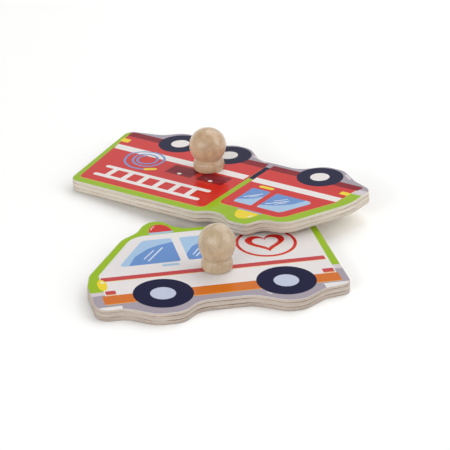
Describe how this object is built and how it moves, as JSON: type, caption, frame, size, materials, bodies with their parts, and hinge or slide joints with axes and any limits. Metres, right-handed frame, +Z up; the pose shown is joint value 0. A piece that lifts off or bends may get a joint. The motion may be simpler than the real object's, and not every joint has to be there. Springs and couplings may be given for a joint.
{
  "type": "sound puzzle pieces",
  "caption": "Lift-out plywood pieces of a sound puzzle: an ambulance lying flat and a fire engine leaning on it, each with a printed face and a turned wooden knob.",
  "frame": {"origin": "on the table, under the middle of the box round both pieces", "axes": "+X along the ambulance from its front to its back, +Y from its wheels to its roof, +Z up from the table"},
  "size_m": [0.1418, 0.1892, 0.0301],
  "materials": {
    "veneer": "sanded, unfinished edge",
    "crossband": "sanded end grain",
    "knob_wood": "turned, satin",
    "ambulance_print": "glossy lacquered print",
    "fire_engine_print": "glossy lacquered print",
    "screw_steel": "zinc plated"
  },
  "bodies": {
    "ambulance": {"ambulance_print": "ambulance_print", "ambulance_face_veneer": "veneer", "ambulance_upper_crossband": "crossband", "ambulance_core_veneer": "veneer", "ambulance_lower_crossband": "crossband", "ambulance_back_veneer": "veneer", "ambulance_knob": "knob_wood", "ambulance_knob_screw": "screw_steel"},
    "fire_engine": {"fire_engine_print": "fire_engine_print", "fire_engine_face_veneer": "veneer", "fire_engine_upper_crossband": "crossband", "fire_engine_core_veneer": "veneer", "fire_engine_lower_crossband": "crossband", "fire_engine_back_veneer": "veneer", "fire_engine_knob": "knob_wood", "fire_engine_knob_screw": "screw_steel"}
  },
  "joints": [
    {"name": "fire_engine_lift", "type": "slide", "parent": "ambulance", "child": "fire_engine", "axis": [0, 0, 1], "range_m": [0, 0.08]}
  ]
}
